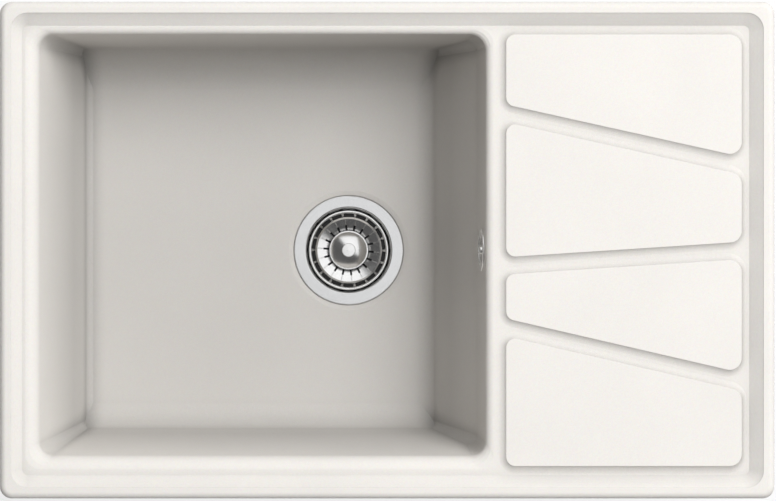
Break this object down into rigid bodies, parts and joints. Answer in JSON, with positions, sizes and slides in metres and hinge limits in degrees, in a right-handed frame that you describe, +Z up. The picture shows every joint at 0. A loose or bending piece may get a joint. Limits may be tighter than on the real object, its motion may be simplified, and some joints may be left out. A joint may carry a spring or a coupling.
{
  "type": "kitchen sink with drainboard",
  "caption": "Inset composite sink: one deep bowl, a drainboard of raised panels, a lift-out basket strainer waste, an overflow with its hose, and swinging worktop clamps.",
  "frame": {"origin": "centre of the sink's outline on the worktop's surface, where the rim rests", "axes": "+X from the bowl to the drainboard, +Y to the wall behind the worktop, +Z up"},
  "size_m": [0.78, 0.5, 0.3],
  "materials": {
    "composite": "matte off-white granite composite with a very fine pale speckle",
    "foam_seal": "closed-cell foam",
    "pressed_steel": "finely brushed stainless steel",
    "white_rubber": "soft pale rubber",
    "black_rubber": "smooth black rubber",
    "white_plastic": "satin moulded polypropylene",
    "brass": "knurled brass",
    "steel_screws": "plain stainless steel",
    "polished_steel": "polished stainless steel",
    "grey_plastic": "moulded plastic",
    "hose_plastic": "ribbed soft plastic",
    "zinc_steel": "zinc-plated steel"
  },
  "bodies": {
    "sink": {"sink_body": "composite", "rim_seal": "foam_seal", "waste_flange": "pressed_steel", "flange_gasket": "white_rubber", "body_gasket": "black_rubber", "waste_body": "white_plastic", "bolt_insert": "brass", "waste_bolt": "steel_screws", "overflow_rosette": "polished_steel", "overflow_screw": "polished_steel", "overflow_gasket": "black_rubber", "overflow_elbow": "white_plastic", "overflow_insert": "brass", "overflow_hose": "hose_plastic", "hose_clips": "steel_screws", "clamp_inserts": "brass", "clamp_screws": "zinc_steel"},
    "basket": {"strainer_basket": "polished_steel", "basket_knob": "polished_steel", "knob_cap": "polished_steel", "basket_sleeve": "grey_plastic", "stopper_seal": "black_rubber", "seal_retainer": "grey_plastic"},
    "hook_left_rear": {"clamp_hook_left_rear": "zinc_steel"},
    "hook_left_front": {"clamp_hook_left_front": "zinc_steel"},
    "hook_right_rear": {"clamp_hook_right_rear": "zinc_steel"},
    "hook_right_front": {"clamp_hook_right_front": "zinc_steel"},
    "hook_rear": {"clamp_hook_rear": "zinc_steel"},
    "hook_front": {"clamp_hook_front": "zinc_steel"}
  },
  "joints": [
    {"name": "basket_lift", "type": "slide", "parent": "sink", "child": "basket", "axis": [0, 0, 1], "range_m": [0, 0.25]},
    {"name": "hook_swing_left_rear", "type": "hinge", "parent": "sink", "child": "hook_left_rear", "pos_m": [-0.366, 0.13, -0.0515], "axis": [0, 0, 1], "range_deg": [-100, 14]},
    {"name": "hook_swing_left_front", "type": "hinge", "parent": "sink", "child": "hook_left_front", "pos_m": [-0.366, -0.13, -0.0515], "axis": [0, 0, 1], "range_deg": [-14, 100]},
    {"name": "hook_swing_right_rear", "type": "hinge", "parent": "sink", "child": "hook_right_rear", "pos_m": [0.366, 0.13, -0.0515], "axis": [0, 0, 1], "continuous": true},
    {"name": "hook_swing_right_front", "type": "hinge", "parent": "sink", "child": "hook_right_front", "pos_m": [0.366, -0.13, -0.0515], "axis": [0, 0, 1], "continuous": true},
    {"name": "hook_swing_rear", "type": "hinge", "parent": "sink", "child": "hook_rear", "pos_m": [0.23865, 0.2275, -0.0515], "axis": [0, 0, 1], "continuous": true},
    {"name": "hook_swing_front", "type": "hinge", "parent": "sink", "child": "hook_front", "pos_m": [0.23865, -0.2275, -0.0515], "axis": [0, 0, 1], "continuous": true}
  ]
}
